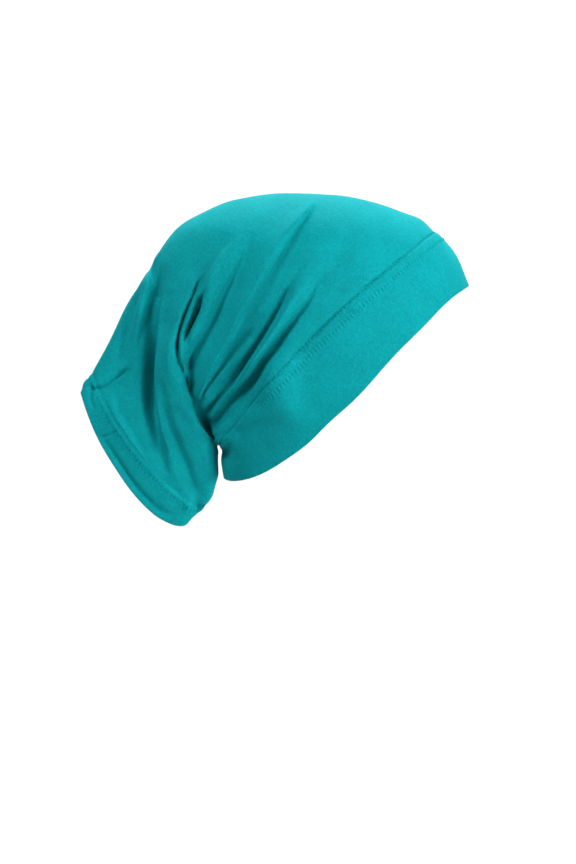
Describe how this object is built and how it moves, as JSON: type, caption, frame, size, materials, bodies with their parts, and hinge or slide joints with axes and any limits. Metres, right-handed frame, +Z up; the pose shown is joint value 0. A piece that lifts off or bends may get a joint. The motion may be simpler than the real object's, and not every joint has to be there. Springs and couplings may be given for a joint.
{
  "type": "hijab underscarf cap",
  "caption": "Stretch-jersey underscarf tube cap in worn form: wide doubled face band, gathered nape and an open, flattened tail behind.",
  "frame": {"origin": "point inside the crown where the top of the wearer's head carries the cap", "axes": "+X forward, towards the wearer's face; +Y towards the wearer's left; +Z up"},
  "size_m": [0.2722, 0.1474, 0.2333],
  "materials": {
    "band_jersey": "matte stretch jersey, two layers",
    "tube_jersey": "matte stretch jersey, one layer",
    "hem_jersey": "matte stretch jersey, two layers"
  },
  "bodies": {
    "root": {"face_band": "band_jersey", "crown_tube": "tube_jersey", "tail_hem": "hem_jersey"}
  },
  "joints": []
}
